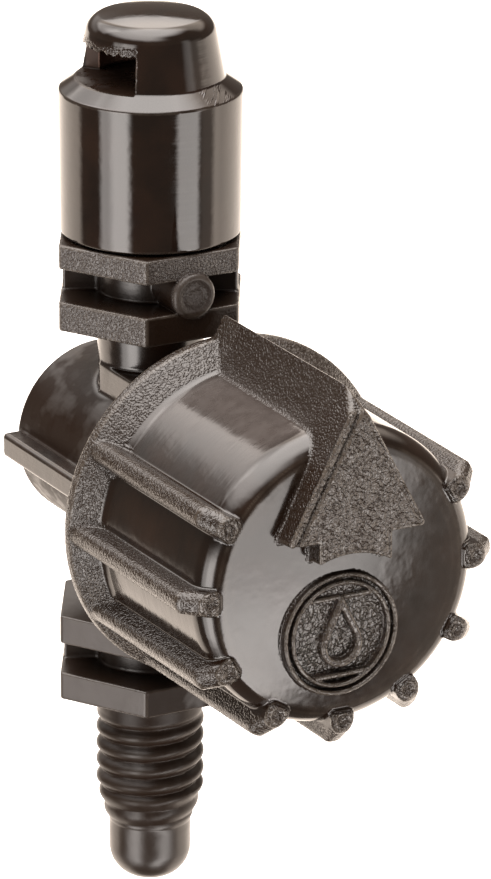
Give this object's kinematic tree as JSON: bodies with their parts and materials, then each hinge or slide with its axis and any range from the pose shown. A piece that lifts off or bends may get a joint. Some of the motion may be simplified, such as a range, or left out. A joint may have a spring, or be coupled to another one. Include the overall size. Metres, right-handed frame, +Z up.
{
  "type": "micro-spray emitter with flow-control valve",
  "caption": "Small black plastic irrigation spray emitter: screw-in inlet, spanner hexagons, cross barrel with a ribbed turn knob and arrow pointer, and a cap with a side spray window.",
  "frame": {"origin": "on the riser's axis, at the shoulder of the inlet thread, the underside of the lowest hexagon", "axes": "+Z up the riser from inlet to spray cap; the valve's axis is along Y with the knob towards -Y; +X completes the right-handed frame"},
  "size_m": [0.0154, 0.0236, 0.0401],
  "materials": {
    "body_plastic": "moulded black, polished columns and barrel, spark-textured hexagon flats",
    "knob_plastic": "moulded black, polished side and face, spark-textured ribs, rim and arrow",
    "spindle_plastic": "moulded black",
    "cap_plastic": "moulded black, polished",
    "disc_plastic": "moulded dark grey",
    "seal_rubber": "matt black"
  },
  "bodies": {
    "emitter_body": {"valve_body": "body_plastic", "cap_seal": "seal_rubber"},
    "knob": {"control_knob": "knob_plastic", "valve_spindle": "spindle_plastic", "spindle_seal_front": "seal_rubber", "spindle_seal_rear": "seal_rubber"},
    "cap": {"spray_cap": "cap_plastic", "nozzle_disc": "disc_plastic"}
  },
  "joints": [
    {"name": "knob_turn", "type": "hinge", "parent": "emitter_body", "child": "knob", "pos_m": [0, 0, 0.01063], "axis": [0, -1, 0], "range_deg": [-90, 90]},
    {"name": "cap_aim", "type": "hinge", "parent": "emitter_body", "child": "cap", "pos_m": [0, 0, 0.02125], "axis": [0, 0, 1], "continuous": true}
  ]
}
